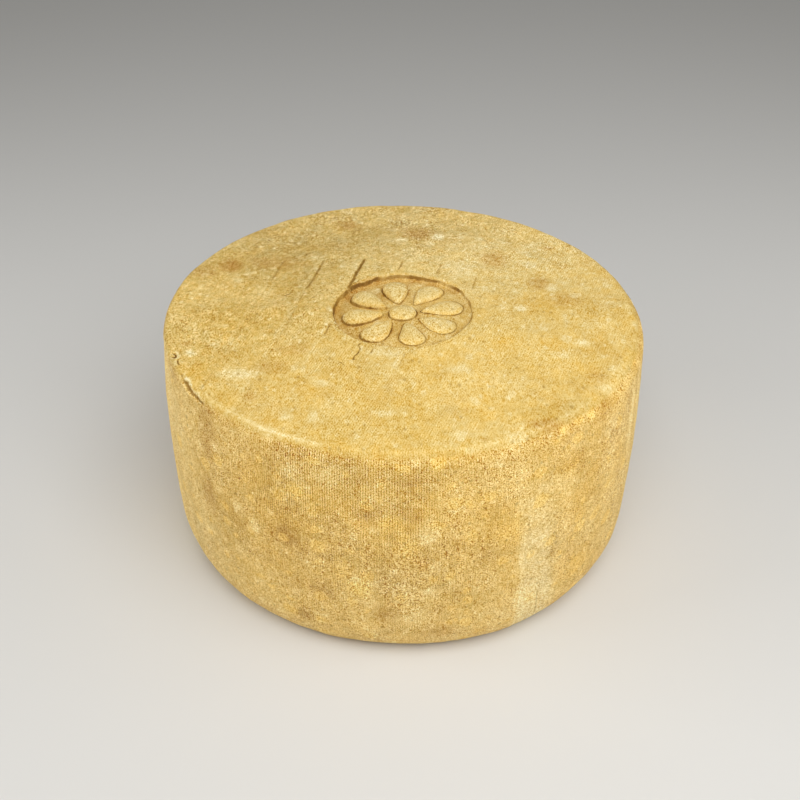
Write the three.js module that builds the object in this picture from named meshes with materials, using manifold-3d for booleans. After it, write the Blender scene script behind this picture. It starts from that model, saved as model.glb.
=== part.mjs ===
// A large wheel of hard cheese, ripened in cloth. One solid body with its rind, in millimetres, +Z up.
// It stands on its flat base: the origin is the middle of the base, the wheel's own axis is Z, its front is -Y.
import * as THREE from 'three';
import { mergeVertices } from 'three/addons/utils/BufferGeometryUtils.js';
import Module from 'manifold-3d';

const wasm = await Module();
wasm.setup();

// Driving dimensions of the wheel.
const DIAMETER = 320;
const HEIGHT = 161;
const WIDEST_HEIGHT = 76;
const BARREL = 14.8; // the side draws in by BARREL * (distance from the widest ring / HEIGHT) squared
const FOOT_INSET = 15;
const FOOT_RISE = 29;
const SHOULDER_INSET = 5.5;
const SHOULDER_DROP = 8.8;
const SHOULDER_SWING = 1.8; // the shoulder is softer on one side and crisper on the other by this much
const SOFT_SIDE = -20; // degrees, the side where the shoulder is softest

// How far the wheel is from round, and its top and base edges from each other.
const TOP_OVAL = 0.9;
const TOP_OVAL_TURN = 150; // degrees, the way in which the top is widest
const FOOT_LOBES = 0.9;
const FOOT_LOBES_TURN = -55; // degrees, one of the foot's three fuller places
const TOP_WAVE = 0.5;
const TOP_WAVE_LENGTH = 190;

// The stamp pressed into the middle of the top: a round hollow with eight petals round a boss.
const STAMP_RADIUS = 47;
const STAMP_WALL = 3;
const STAMP_DEPTH = 4;
const STAMP_TILT = 2.2; // degrees, the stamp bit deeper at the back left
const STAMP_TILT_TURN = -35; // degrees, the way in which the hollow grows shallower
const PETALS = 8;
const PETAL_START = 13;
const PETAL_END = 42;
const PETAL_WIDTH = 24;
const PETAL_TAPER = 0.35;
const PETAL_TOP = 0.4; // the petals' crowns lie this far under the top
const PETAL_ROOT = 6; // and their roots this far, at the deepest floor
const PETAL_TURN = 10; // degrees
const BOSS_RADIUS = 9.5;

// The straight marks that the slats of the drying rack left across the top.
const SCORE_PITCH = 28;
const SCORE_FIRST = -99;
const SCORE_LEAN = 77; // degrees from +X
const SCORE_WIDTH = 3;
const SCORE_DEPTH = 1.5;
const SCORES = [
  { back: 70, front: -24 },
  { back: 67, front: -2 },
  { back: 70, front: -34 },
  { back: 66, front: 44 },
  { back: 63, front: 42 },
  { back: 46, front: 22 },
];

// Chips broken out of the rim at the left: angle in degrees, length along the rim, width and depth.
const CHIPS = [
  { angle: -159, long: 7, wide: 4, deep: 2.5 },
  { angle: -155.5, long: 6, wide: 2.5, deep: 2 },
  { angle: -144.5, long: 25, wide: 4, deep: 3 },
];
const CHIP_BELOW_TOP = 1.5;

// How finely the surface is divided.
const SIDES = 96;
const FOOT_STEPS = 5;
const WALL_STEPS = 7;
const SHOULDER_STEPS = 3;
const TOP_RINGS = [138, 112, 84, 58];
const MERGE_GAP = 1e-3;

const RADIUS = DIAMETER / 2;
const QUARTER = Math.PI / 2;
const rad = THREE.MathUtils.degToRad;

// Radius of the barrel-shaped side at a height, before the foot and the shoulder are rounded.
function barrelRadius(height) {
  return RADIUS - BARREL * ((height - WIDEST_HEIGHT) / HEIGHT) ** 2;
}

// The outline from the middle of the base, round the foot, up the side, over the shoulder to the middle of the top.
function wheelOutline() {
  const outline = [new THREE.Vector2(0, 0)];
  for (let i = 0; i <= FOOT_STEPS; i += 1) {
    const turn = (QUARTER * i) / FOOT_STEPS;
    const height = FOOT_RISE * (1 - Math.cos(turn));
    outline.push(new THREE.Vector2(barrelRadius(height) - FOOT_INSET * (1 - Math.sin(turn)), height));
  }
  const wall = HEIGHT - SHOULDER_DROP - FOOT_RISE;
  for (let i = 1; i < WALL_STEPS; i += 1) {
    const height = FOOT_RISE + (wall * i) / WALL_STEPS;
    outline.push(new THREE.Vector2(barrelRadius(height), height));
  }
  for (let i = 0; i <= SHOULDER_STEPS; i += 1) {
    const turn = (QUARTER * i) / SHOULDER_STEPS;
    const height = HEIGHT - SHOULDER_DROP * (1 - Math.sin(turn));
    outline.push(new THREE.Vector2(barrelRadius(height) - SHOULDER_INSET * (1 - Math.cos(turn)), height));
  }
  for (const ring of TOP_RINGS) outline.push(new THREE.Vector2(ring, HEIGHT));
  outline.push(new THREE.Vector2(0, HEIGHT));
  return outline;
}

// How far the wheel stands out from the round outline at an angle and a height.
function outOfRound(angle, height) {
  const share = height / HEIGHT;
  const top = TOP_OVAL * Math.cos(2 * (angle - rad(TOP_OVAL_TURN)));
  const foot = FOOT_LOBES * Math.cos(3 * (angle - rad(FOOT_LOBES_TURN)));
  const soft = SHOULDER_SWING * Math.cos(angle - rad(SOFT_SIDE));
  const nearTop = THREE.MathUtils.smoothstep(height, HEIGHT - SHOULDER_DROP, HEIGHT);
  return share * top + (1 - share) * foot - nearTop * soft;
}

// The gentle unevenness of the top, which fades out at the stamp and stays below the wheel's height.
function topWave(x, y) {
  const wave = Math.sin((2 * Math.PI * x) / TOP_WAVE_LENGTH + 1) * Math.cos((2 * Math.PI * y) / TOP_WAVE_LENGTH);
  const away = THREE.MathUtils.smoothstep(Math.hypot(x, y), STAMP_RADIUS, STAMP_RADIUS * 2);
  return -TOP_WAVE * away * (1 + wave);
}

// A closed solid from a geometry: its shared corners merged, and the empty triangles at a pole left out.
function solidOf(geometry) {
  geometry.deleteAttribute('normal');
  geometry.deleteAttribute('uv');
  const merged = mergeVertices(geometry, MERGE_GAP);
  const triVerts = [];
  for (let i = 0; i < merged.index.count; i += 3) {
    const corners = [0, 1, 2].map((k) => merged.index.getX(i + k));
    if (new Set(corners).size === 3) triVerts.push(...corners);
  }
  const mesh = new wasm.Mesh({
    numProp: 3,
    vertProperties: new Float32Array(merged.attributes.position.array),
    triVerts: new Uint32Array(triVerts),
  });
  return new wasm.Manifold(mesh);
}

// A lathe solid with its axis along Z.
function turned(outline, sides) {
  return new THREE.LatheGeometry(outline, sides).rotateX(QUARTER);
}

// The bare wheel: the outline turned round the axis, then made as uneven as a real one.
function wheelBody() {
  const geometry = turned(wheelOutline(), SIDES);
  const place = geometry.attributes.position;
  for (let i = 0; i < place.count; i += 1) {
    const x = place.getX(i);
    const y = place.getY(i);
    const z = place.getZ(i);
    const radius = Math.hypot(x, y);
    const onTop = z > HEIGHT - MERGE_GAP;
    const share = onTop ? radius / RADIUS : 1;
    const stretch = radius > 0 ? 1 + (share * outOfRound(Math.atan2(y, x), z)) / radius : 1;
    place.setXYZ(i, x * stretch, y * stretch, onTop ? z + topWave(x, y) : z);
  }
  return solidOf(geometry);
}

// The stamp's round hollow, with walls that lean outwards, tipped as the stamp was.
function stampHollow() {
  const outline = [
    new THREE.Vector2(0, -STAMP_DEPTH),
    new THREE.Vector2(STAMP_RADIUS - STAMP_WALL, -STAMP_DEPTH),
    new THREE.Vector2(STAMP_RADIUS, 0),
    new THREE.Vector2(STAMP_RADIUS + STAMP_WALL, STAMP_DEPTH),
    new THREE.Vector2(0, STAMP_DEPTH),
  ];
  const turn = rad(STAMP_TILT_TURN);
  const axis = new THREE.Vector3(Math.sin(turn), -Math.cos(turn), 0);
  const tip = new THREE.Matrix4().makeRotationAxis(axis, rad(STAMP_TILT));
  return solidOf(turned(outline, 60).applyMatrix4(tip).translate(0, 0, HEIGHT));
}

// A pillow-shaped lump of radius 1: a ball whose crown is flattened.
function pillow(sides, rows) {
  const geometry = new THREE.SphereGeometry(1, sides, rows).rotateX(QUARTER);
  const place = geometry.attributes.position;
  for (let i = 0; i < place.count; i += 1) {
    const up = place.getZ(i);
    place.setZ(i, Math.sign(up) * Math.sqrt(Math.abs(up)));
  }
  return geometry;
}

// One petal, narrower towards the middle of the stamp.
function petal(index) {
  const half = (PETAL_END - PETAL_START) / 2;
  const geometry = pillow(12, 6);
  const place = geometry.attributes.position;
  for (let i = 0; i < place.count; i += 1) {
    place.setY(i, place.getY(i) * (1 - PETAL_TAPER + PETAL_TAPER * place.getX(i)));
  }
  geometry.scale(half, PETAL_WIDTH / 2, PETAL_ROOT - PETAL_TOP);
  geometry.translate(PETAL_START + half, 0, HEIGHT - PETAL_ROOT);
  return solidOf(geometry.rotateZ(rad(PETAL_TURN) + (2 * Math.PI * index) / PETALS));
}

// The round boss in the middle of the petals.
function boss() {
  const geometry = pillow(18, 6).scale(BOSS_RADIUS, BOSS_RADIUS, PETAL_ROOT - PETAL_TOP);
  return solidOf(geometry.translate(0, 0, HEIGHT - PETAL_ROOT));
}

// One straight mark, between two distances from the middle of the top: it fades out at both ends.
function scoreMark({ back, front }, index) {
  const lean = rad(SCORE_LEAN);
  const half = (back - front) / 2 / Math.sin(lean);
  const middle = (back + front) / 2;
  const mark = new THREE.OctahedronGeometry(1).scale(half, SCORE_WIDTH / 2, SCORE_DEPTH).rotateZ(lean);
  const offset = SCORE_FIRST + SCORE_PITCH * index + middle / Math.tan(lean);
  return solidOf(mark.translate(offset, middle, HEIGHT - TOP_WAVE));
}

// One chip out of the rim: a rough lump of about the chip's size, sunk where the top meets the side.
function chip({ angle, long, wide, deep }) {
  const lump = new THREE.IcosahedronGeometry(1, 1);
  lump.scale(wide, long / 2, deep);
  lump.rotateY(-QUARTER / 2);
  const reach = barrelRadius(HEIGHT) - SHOULDER_INSET + outOfRound(rad(angle), HEIGHT);
  lump.translate(reach + wide / 2, 0, HEIGHT - CHIP_BELOW_TOP).rotateZ(rad(angle));
  return solidOf(lump);
}

// The whole wheel: body, stamp, marks and chips joined into one closed mesh.
function wheelSolid() {
  let solid = wheelBody().subtract(stampHollow()).add(boss());
  for (let i = 0; i < PETALS; i += 1) solid = solid.add(petal(i));
  SCORES.forEach((score, index) => {
    solid = solid.subtract(scoreMark(score, index));
  });
  for (const place of CHIPS) solid = solid.subtract(chip(place));
  return solid;
}

// The finished mesh as a named three.js object.
function meshOf(name, solid, material) {
  const { vertProperties, triVerts } = solid.getMesh();
  const geometry = new THREE.BufferGeometry();
  geometry.setAttribute('position', new THREE.BufferAttribute(vertProperties, 3));
  geometry.setIndex(new THREE.BufferAttribute(triVerts, 1));
  geometry.computeVertexNormals();
  const mesh = new THREE.Mesh(geometry, material);
  mesh.name = name;
  return mesh;
}

const rind = new THREE.MeshStandardMaterial({ color: 0xdcb96a, roughness: 0.75, metalness: 0 });

const cheese = new THREE.Group();
cheese.name = 'cheese';
cheese.add(meshOf('wheel', wheelSolid(), rind));

export default cheese;
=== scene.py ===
"""A large wheel of hard cheese, ripened in cloth: one closed surface with its pressed stamp, rack marks,
cracks and worn cloth print, and the rind that covers it. Lengths are in metres, +Z up, the front is -Y."""

from math import cos, pi, radians, sin, tan, tau
from typing import NamedTuple

import bpy
import numpy as np
from bpy.props import FloatProperty, FloatVectorProperty, IntProperty, PointerProperty
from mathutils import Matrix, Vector


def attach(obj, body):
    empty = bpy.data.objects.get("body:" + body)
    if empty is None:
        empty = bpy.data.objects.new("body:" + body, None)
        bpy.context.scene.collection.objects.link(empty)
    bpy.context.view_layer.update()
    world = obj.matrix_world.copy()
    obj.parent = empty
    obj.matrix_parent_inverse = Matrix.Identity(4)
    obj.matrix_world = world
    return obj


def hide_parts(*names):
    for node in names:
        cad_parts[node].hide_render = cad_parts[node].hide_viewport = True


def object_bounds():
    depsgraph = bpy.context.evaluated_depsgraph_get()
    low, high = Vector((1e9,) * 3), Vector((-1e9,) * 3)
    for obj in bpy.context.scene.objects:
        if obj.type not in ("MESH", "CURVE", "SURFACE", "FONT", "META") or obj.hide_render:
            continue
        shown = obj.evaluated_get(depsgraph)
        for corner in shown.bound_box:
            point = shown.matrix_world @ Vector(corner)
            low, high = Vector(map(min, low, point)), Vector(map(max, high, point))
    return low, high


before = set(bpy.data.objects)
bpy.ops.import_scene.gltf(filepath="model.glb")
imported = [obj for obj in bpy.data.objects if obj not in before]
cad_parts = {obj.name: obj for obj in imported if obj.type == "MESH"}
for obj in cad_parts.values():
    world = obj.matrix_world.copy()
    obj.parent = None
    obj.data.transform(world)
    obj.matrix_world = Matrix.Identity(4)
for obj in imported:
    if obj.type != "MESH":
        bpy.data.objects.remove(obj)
CAD_LOW, CAD_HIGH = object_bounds()

bl_info = {
    "name": "Cloth-ripened Cheese Wheel",
    "version": (1, 0, 0),
    "blender": (4, 5, 0),
    "location": "View3D > Sidebar > Cheese",
    "description": "Adds a wheel of hard cheese with a stamped, cloth-printed rind and a plain stage",
    "category": "Add Mesh",
}

MM = 0.001

# The wheel's unevenness, as the solid has it.
TOP_OVAL = 0.9 * MM
TOP_OVAL_TURN = radians(150)
FOOT_LOBES = 0.9 * MM
FOOT_LOBES_TURN = radians(-55)
SHOULDER_SWING = 1.8 * MM
SOFT_SIDE = radians(-20)
TOP_WAVE = 0.5 * MM
TOP_WAVE_LENGTH = 190 * MM

# The stamp's own form.
STAMP_WALL = 3 * MM
STAMP_TILT = radians(2.2)
STAMP_TILT_TURN = radians(-35)
STAMP_WOBBLE = 1.1 * MM
PETAL_START = 13 * MM
PETAL_END = 40.5 * MM
PETAL_WIDTH = 24 * MM
PETAL_TAPER = 0.35
PETAL_TOP = 0.4 * MM
PETAL_ROOT = 6 * MM
PETAL_TURN = radians(10)
BOSS_RADIUS = 9.5 * MM

# The rack's slats left straight marks across the top, this far apart and leaning this far from +X.
SLAT_PITCH = 28 * MM
SLAT_FIRST = -99 * MM
SLAT_LEAN = radians(77)

# Painted light: the side is painted brighter towards the foot, as light bounced up from the floor, and round
# the left edge, as rim light, in steps of tone.
PAINTED_FOOT_BOUNCE = 1.2
PAINTED_EDGE_RIM_LIGHT = 1.6

# How finely the surface is divided. Columns stand closer together round the chipped rim.
COLUMNS = 512
BASE_RINGS = 5
FOOT_RINGS = 13
WALL_RINGS = 41
SHOULDER_RINGS = 13
TOP_RINGS = 66
STAMP_RINGS = 52
STAMP_MARGIN = 4 * MM
CHIPPED_SIDE = radians(-148)
CHIPPED_SPREAD = radians(15)
CHIPPED_GAIN = 2.2
LATTICE = 48

# The rind's colours are mixed in screen values, the linear ones to the power 1 / 2.2, and move in five ways:
# lighter, paler, and as the grain, the cloth's print and the wisps do.
SCREEN_GAMMA = 2.2
LIGHTER = (1.0, 1.0, 0.95)
PALER = (0.1, 0.45, 1.0)
GRAINY = (0.8, 1.13, 1.6)
PRINTED = (1.0, 1.08, 1.75)
WISPY = (0.95, 1.0, 1.25)

# How far one unit of tone, and one of paleness, moves the colour.
TONE_STEP = 0.05
PALE_STEP = 0.045

# Round the front, noise is read at places squeezed this much along Y.
FRONT_SQUEEZE = 0.65

# What the rind's material reads from the mesh: the side's share, bloom with painted sheen, brown stain with
# painted shade, gold patch, lighter or darker tone that is partly painted light and shade, paler or yellower,
# cloth print, coarseness of the grain, wisps, the pale band with the millimetres to its left edge, and the
# drawn dark lines, partly painted shade, with their ink.
LOOKS = (
    "side",
    "bloom",
    "stain",
    "gold",
    "tone",
    "pale",
    "weave",
    "coarse",
    "wisps",
    "band",
    "edge",
    "line",
    "ink",
)
SIGNED_LOOKS = ("tone", "pale")

# A patch fades as exp(-distance^(2 * this)), in its own half sizes.
PATCH_EDGE = 1.6

# A drawn line is told apart from others up to this many of its own half widths away.
LINE_REACH = 9.0

# The page that flat pictures of the surface are laid out on: its width, the gaps, the number of strips that
# the side is cut into, how large the top and the base are drawn, and their disc's radius as a share of the
# wheel's.
PAGE = 0.640
PAGE_MARGIN = 0.005
STRIPS = 3
TOP_SCALE = 0.92
BASE_SCALE = 0.75
DISC_SHARE = 0.955

# The floor reaches this many of the wheel's radii each way, and the lamps face this place.
FLOOR_REACH = 12
LAMP_AIM = (0, 0, 0.1)


class Score(NamedTuple):
    """One stretch of a slat's mark: which slat, its back and front end in millimetres, how dark, how
    light."""

    slat: int
    back: float
    front: float
    dark: float
    light: float


class Crack(NamedTuple):
    """A crack: its corners, how dark it is, and how torn and pale its lips are.

    Corners are x and y in millimetres on the top, or degrees round and millimetres below the top's edge."""

    corners: tuple
    dark: float
    lips: float = 0.0


class Chip(NamedTuple):
    """A break along the top edge: degrees where it starts and ends, how many millimetres below the top it
    starts, how many more it falls towards its end, and how wide and deep it is there."""

    start: float
    end: float
    below: float
    fall: float
    wide: float
    deep: float


class Dent(NamedTuple):
    """A flat on the foot: the degrees round that it faces, how far it faces down, and how deep it cuts, in
    mm."""

    turn: float
    dip: float
    cut: float


class Patch(NamedTuple):
    """A patch of rind: x and y on the top, or degrees round and height on the side, half sizes in mm,
    strength."""

    across: float
    along: float
    half_width: float
    half_height: float
    strength: float


class Lamp(NamedTuple):
    """A square soft lamp: its name, which its power's setting has too, its width and its place."""

    name: str
    size: float
    place: tuple


SCORES = (
    Score(0, 70, 35, 0.4, 0.2),
    Score(0, 35, -60, 0.1, 0.25),
    Score(1, 68, 24, 0.6, 0.5),
    Score(1, 24, -60, 0.2, 0.4),
    Score(2, 71, 25, 0.95, 0.3),
    Score(2, -15, -34, 0.6, 0.9),
    Score(2, -34, -75, 0.05, 0.5),
    Score(3, 66, 50, 0.6, 0.2),
    Score(4, 64, 44, 0.35, 0.1),
    Score(4, -50, -70, 0.25, 0.6),
    Score(5, 45, 23, 0.35, 0.1),
    Score(1, -60, -120, 0.12, 0.3),
    Score(0, -70, -115, 0.25, 0.2),
)
CRACKS = (
    Crack(((-17, -43), (-18, -47), (-20.5, -53)), 0.9),
    Crack(((-26.5, -41), (-28, -49), (-30, -59), (-29, -60)), 0.8),
    Crack(((-39, -61), (-35, -65)), 0.5),
    Crack(((-66, 78), (-68.5, 75)), 1.0),
    Crack(((-76, 20), (-79.5, 17.5)), 1.0),
    Crack(((-59, 15), (-60.5, 12.5)), 0.7),
    Crack(((-101, -10), (-102.5, -12.5)), 0.6),
    Crack(((60, -8), (56, -12)), 0.4),
)
RIM_CRACKS = (
    Crack(((-160.0, 0.7), (-158.9, -0.5), (-157.9, 0.4), (-158.8, 2.4)), 1.0, 0.7),
    Crack(((-156.5, 0.1), (-155.5, 0.9), (-154.5, 0.5)), 0.9, 0.6),
    Crack(((-151.0, 2.4), (-150.0, 3.4)), 0.6, 0.5),
)
CHIPS = (Chip(-149.0, -139.3, 4.2, 2.6, 1.15, 1.3),)
DENTS = (
    Dent(-142.5, 52, 1.6),
    Dent(-157, 38, 0.8),
    Dent(-44, 50, 1.0),
    Dent(-12, 45, 1.2),
    Dent(60, 50, 1.5),
    Dent(135, 42, 1.2),
)
# Single patches of the rind. Most places in the bloom, stain and gold lists, and some in the pale lists, were
# found by separate programs that search for spots. The sizes and strengths were set one by one.
TOP_BLOOMS = (
    Patch(26, 100, 5, 5, 1.1),
    Patch(-132, -53, 4.5, 4, 0.75),
    Patch(-1, 97, 6, 3, 0.7),
    Patch(101, 26, 4, 4, 0.7),
    Patch(78, 2, 5, 4, 0.8),
    Patch(90, 59, 5, 5, 0.8),
    Patch(-62, 70, 5, 4, 0.6),
    Patch(64, -137, 7, 4, 0.6),
    Patch(99, -54, 7, 4, 0.5),
    Patch(113, -41, 7, 4, 0.65),
    Patch(-11, -115, 6, 4, 0.6),
    Patch(-68, -118, 5, 4, 0.5),
    Patch(33, -70, 9, 6, 0.5),
    Patch(25, -143, 8, 4, 0.3),
    Patch(-101, -74, 13, 6, 0.7),
    Patch(-49, -84, 6, 4, 0.6),
    Patch(-10, -53, 13, 5, 0.5),
    Patch(121, -91, 7, 5, 0.45),
    Patch(41, 52, 8, 10, 0.4),
    Patch(39, -148, 5, 3, 0.4),
)
TOP_STAINS = (
    Patch(-121, 59, 8, 9, 1.0),
    Patch(-87, 63, 20, 10, 0.5),
    Patch(65, 68, 9, 12, 0.6),
    Patch(12, 105, 13, 10, 0.6),
    Patch(-41, 118, 9, 7, 0.6),
    Patch(108, 12, 13, 10, 0.35),
    Patch(93, 33, 8, 9, 0.6),
    Patch(-136, 49, 9, 9, 0.4),
    Patch(-137, -42, 4, 4, 0.5),
    Patch(83, -126, 12, 5, 0.8),
    Patch(-90, -98, 5, 6, 0.4),
    Patch(-80, -66, 11, 7, 0.35),
    Patch(-69, -48, 11, 7, 0.4),
    Patch(105, 84, 5, 3, 0.5),
    Patch(117, -78, 7, 9, 0.3),
)
SIDE_BLOOMS = (
    Patch(-129.5, 96, 4, 5, 0.9),
    Patch(-124.5, 88, 4, 5, 0.9),
    Patch(-85, 105, 7, 7, 0.7),
    Patch(-84.7, 60, 4, 4, 0.9),
    Patch(-88, 36, 9, 5, 0.6),
    Patch(-97, 49, 4, 5, 0.7),
    Patch(-114, 142, 7, 5, 0.6),
    Patch(-107, 144, 6, 4, 0.6),
    Patch(-62, 38, 10, 11, 0.7),
    Patch(-64, 62, 5, 6, 0.5),
    Patch(-65, 137, 5, 6, 0.4),
    Patch(-53, 119, 7, 7, 0.4),
    Patch(-25.5, 122, 5, 28, 1.0),
)
SIDE_STAINS = (
    Patch(-113, 27, 6, 6, 0.6),
    Patch(-116, 91, 9, 8, 0.75),
    Patch(-97, 120, 9, 7, 0.4),
    Patch(-139, 92, 8, 13, 0.6),
    Patch(-138, 137, 9, 20, 0.5),
    Patch(-94, 41, 9, 8, 0.55),
    Patch(-82, 24, 13, 7, 0.4),
    Patch(-82, 45, 4, 4, 0.3),
    Patch(-55, 68, 5, 5, 0.3),
    Patch(-72, 85, 5, 6, 0.2),
    Patch(-88, 143, 9, 6, 0.4),
    Patch(-108, 54, 9, 8, 0.5),
    Patch(-116, 155, 14, 6, 0.25),
    Patch(-103, 155, 9, 5, 0.25),
    Patch(-40, 155, 9, 6, 0.4),
)
SIDE_GOLDS = (
    Patch(-113, 128, 6, 6, 1.0),
    Patch(-117, 122, 5, 5, 0.7),
    Patch(-109, 119, 5, 4, 0.6),
    Patch(-67, 97, 10, 11, 0.5),
    Patch(-99.3, 63, 8, 8, 0.9),
    Patch(-89, 96, 8, 8, 0.7),
    Patch(-93, 114, 7, 6, 0.8),
    Patch(-103, 74, 5, 6, 0.7),
    Patch(-46, 40, 9, 9, 0.4),
)
# The top's tone patches are partly the rind's own uneven tone and partly painted shade and light: darker at
# the back and the left, where less of the lamps' light falls, and brighter at the right.
TOP_TONES = (
    Patch(-85, 75, 60, 42, -1.6),
    Patch(-115, -50, 30, 45, -0.5),
    Patch(-72, 0, 34, 45, -0.8),
    Patch(-140, 5, 12, 20, -0.4),
    Patch(90, 80, 50, 35, 0.5),
    Patch(90, -50, 50, 40, 0.3),
    Patch(0, 105, 60, 25, -1.0),
    Patch(102, -118, 26, 12, -1.0),
    Patch(75, -136, 16, 8, -0.7),
    Patch(5, -112, 24, 12, -0.7),
    Patch(34, -104, 30, 14, 0.6),
    Patch(5, -85, 50, 30, 0.25),
    Patch(38, -48, 30, 20, 0.4),
    Patch(122, 0, 18, 12, -0.6),
)
# The side's tone patches too are partly the rind's own uneven tone and partly painted light and shade.
SIDE_TONES = (
    Patch(-40, 105, 40, 45, 0.9),
    Patch(-43, 105, 13, 34, -0.9),
    Patch(-85, 40, 90, 40, 0.5),
    Patch(-92, 33, 26, 18, 0.4),
    Patch(-92, 78, 26, 20, -0.5),
    Patch(-92, 118, 30, 22, 0.3),
    Patch(-150, 130, 30, 30, 0.5),
    Patch(-131, 85, 16, 16, -0.8),
    Patch(-148, 120, 20, 26, 0.35),
    Patch(-113, 100, 24, 26, -0.65),
    Patch(-75, 50, 11, 17, -0.7),
    Patch(-100, 114, 16, 14, 0.9),
    Patch(-77, 124, 17, 13, 0.9),
    Patch(-50, 135, 18, 16, -0.6),
    Patch(-60, 110, 20, 24, 0.4),
)
TOP_PALES = (
    Patch(10, 65, 130, 70, 1.0),
    Patch(95, 65, 45, 35, 0.6),
    Patch(0, -151, 60, 10, -0.6),
    Patch(-105, 0, 38, 45, -0.35),
    Patch(85, -30, 14, 12, 0.7),
    Patch(91, -4, 15, 11, -1.0),
    Patch(91, -41, 10, 8, -1.3),
    Patch(105, -39, 5, 5, -1.0),
    Patch(-125, -73, 13, 14, -1.1),
    Patch(112, -70, 10, 9, -1.0),
    Patch(129, -86, 7, 7, -1.0),
    Patch(-62, -91, 24, 9, -0.8),
    Patch(-73, -121, 6, 5, -1.3),
    Patch(63, -38, 9, 8, -1.2),
    Patch(18, -58, 18, 7, -1.1),
)
SIDE_PALES = (
    Patch(-143, 40, 42, 42, 1.2),
    Patch(-154, 130, 25, 40, 1.0),
    Patch(-85, 110, 60, 30, -1.0),
    Patch(-118, 85, 45, 50, -0.6),
    Patch(-47, 99, 10, 10, -1.4),
    Patch(-46, 40, 11, 11, -1.2),
    Patch(-44, 114, 6, 7, -1.0),
    Patch(-33.5, 115, 8, 9, -1.0),
    Patch(-67, 97, 10, 11, -0.8),
    Patch(-52, 133, 10, 8, -1.1),
    Patch(-38, 151, 14, 9, -0.8),
    Patch(-126, 129, 13, 11, -0.8),
    Patch(-120, 118, 24, 22, -0.4),
    Patch(-64, 133, 6, 6, -1.0),
)
TOP_PATCHES = {"bloom": TOP_BLOOMS, "stain": TOP_STAINS, "tone": TOP_TONES, "pale": TOP_PALES}
SIDE_PATCHES = {
    "bloom": SIDE_BLOOMS,
    "stain": SIDE_STAINS,
    "gold": SIDE_GOLDS,
    "tone": SIDE_TONES,
    "pale": SIDE_PALES,
}
LAMPS = (
    Lamp("key", 1.0, (0.2, -0.6, 1.05)),
    Lamp("fill_left", 0.7, (-1.0, -0.2, 0.5)),
    Lamp("fill_right", 0.7, (1.0, -0.2, 0.5)),
)


# ---------------------------------------------------------------- numbers on arrays


def smooth(values, low, high):
    """0 up to low, 1 from high on, and 3t^2 - 2t^3 between them."""
    t = np.clip((values - low) / (high - low), 0, 1)
    return t * t * (3 - 2 * t)


def bell(distance, width):
    """1 at no distance and falling off as exp(-(distance / width)^2)."""
    return np.exp(-((distance / width) ** 2))


def turn_from(angle, centre):
    """The angle measured from a centre, from -pi to pi."""
    return (angle - centre + pi) % tau - pi


def lumps(points, size, seed):
    """Value noise from -1 to 1: random numbers on a lattice of cubes of this size, joined by smooth steps."""
    table = np.random.default_rng(seed).uniform(-1, 1, (LATTICE,) * 3)
    cell = points / size
    low = np.floor(cell).astype(int)
    part = cell - low
    part = part * part * (3 - 2 * part)
    total = np.zeros(points.shape[:-1])
    for corner in np.ndindex(2, 2, 2):
        weight = np.where(corner, part, 1 - part).prod(axis=-1)
        x, y, z = np.moveaxis((low + corner) % LATTICE, -1, 0)
        total += weight * table[x, y, z]
    return total


def near_path(x, y, path):
    """How far each point lies to the left (+) or right (-) of a line through corners, and how far along, 0 to
    1."""
    nearest = np.full(x.shape, np.inf)
    along = np.zeros(x.shape)
    path = np.asarray(path, float)
    for step, (start, end) in enumerate(zip(path, path[1:])):
        run = end - start
        from_x, from_y = x - start[0], y - start[1]
        share = np.clip((from_x * run[0] + from_y * run[1]) / (run @ run), 0, 1)
        distance = np.hypot(from_x - share * run[0], from_y - share * run[1])
        closer = distance < np.abs(nearest)
        left = np.where(from_y * run[0] - from_x * run[1] < 0, -1, 1)
        nearest = np.where(closer, left * distance, nearest)
        along = np.where(closer, (step + share) / (len(path) - 1), along)
    return nearest, along


# ---------------------------------------------------------------- the wheel's form


def barrel_radius(height, wheel):
    """Radius of the bulging side: the full radius less barrel * ((height - widest) / whole height)^2."""
    return wheel.radius - wheel.barrel * ((height - wheel.widest_height) / wheel.height) ** 2


def wheel_outline(wheel, stamp):
    """Radius and height of each ring from the base, round the foot, up the side, over the shoulder and
    inwards.

    The foot and the shoulder are quarter turns t: the height runs as rise * (1 - cos t) or drop * (1 - sin t)
    off the flat, and the radius is the barrel's less inset * (1 - sin t) or inset * (1 - cos t)."""
    turn = np.linspace(0, pi / 2, FOOT_RINGS + 1)
    foot_height = wheel.foot_rise * (1 - np.cos(turn))
    foot_radius = barrel_radius(foot_height, wheel) - wheel.foot_inset * (1 - np.sin(turn))
    base_radius = foot_radius[0] * np.arange(1, BASE_RINGS + 1) / (BASE_RINGS + 1)
    wall_height = np.linspace(wheel.foot_rise, wheel.height - wheel.shoulder_drop, WALL_RINGS + 1)[1:-1]
    turn = np.linspace(0, pi / 2, SHOULDER_RINGS + 1)
    shoulder_height = wheel.height - wheel.shoulder_drop * (1 - np.sin(turn))
    shoulder_radius = barrel_radius(shoulder_height, wheel) - wheel.shoulder_inset * (1 - np.cos(turn))
    edge = stamp.radius + STAMP_MARGIN
    top_radius = np.linspace(shoulder_radius[-1], edge, TOP_RINGS + 1)[1:]
    stamp_radius = np.linspace(edge, 0, STAMP_RINGS + 1)[1:-1]
    wall_radius = barrel_radius(wall_height, wheel)
    radius = [base_radius, foot_radius, wall_radius, shoulder_radius, top_radius, stamp_radius]
    height = [0 * base_radius, foot_height, wall_height, shoulder_height]
    flat = len(top_radius) + len(stamp_radius)
    return np.concatenate(radius), np.concatenate([*height, np.full(flat, wheel.height)])


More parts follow.
